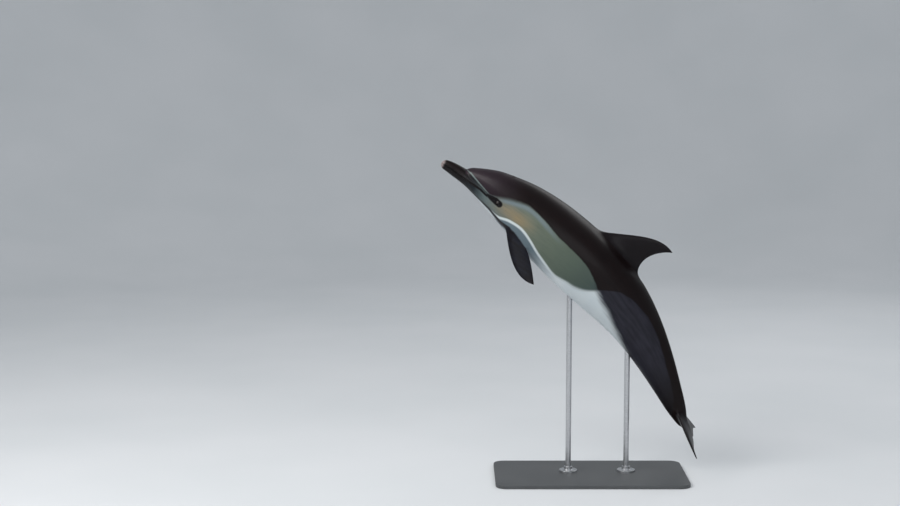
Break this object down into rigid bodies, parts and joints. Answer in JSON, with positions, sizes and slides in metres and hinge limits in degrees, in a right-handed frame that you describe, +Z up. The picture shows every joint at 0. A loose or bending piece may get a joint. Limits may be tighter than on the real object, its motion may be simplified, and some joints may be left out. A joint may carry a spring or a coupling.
{
  "type": "long-beaked common dolphin model on display stand",
  "caption": "Life-size still model of a leaping long-beaked common dolphin, body arched and tail down, held by two steel rods on a flat painted base.",
  "frame": {"origin": "centre of the flat underside of the stand's base, on the floor", "axes": "+Z up, -X the way the beak points, -Y the side that the dolphin's left flank faces"},
  "size_m": [1.4253, 0.5795, 1.726],
  "materials": {
    "skin": "smooth wet gloss, patterned dark grey, tan and white",
    "eye": "polished dark brown",
    "stand_paint": "satin charcoal",
    "stand_steel": "brushed"
  },
  "bodies": {
    "root": {"upper_beak": "skin", "lower_jaw": "skin", "head": "skin", "chest": "skin", "trunk": "skin", "tail_base": "skin", "tail_stock": "skin", "fluke_left": "skin", "fluke_right": "skin", "dorsal_fin": "skin", "flipper_left": "skin", "flipper_right": "skin", "eye_left": "eye", "eye_right": "eye", "stand_base": "stand_paint", "stand_foot_front": "stand_steel", "stand_foot_rear": "stand_steel", "stand_rod_front": "stand_steel", "stand_rod_rear": "stand_steel"}
  },
  "joints": []
}
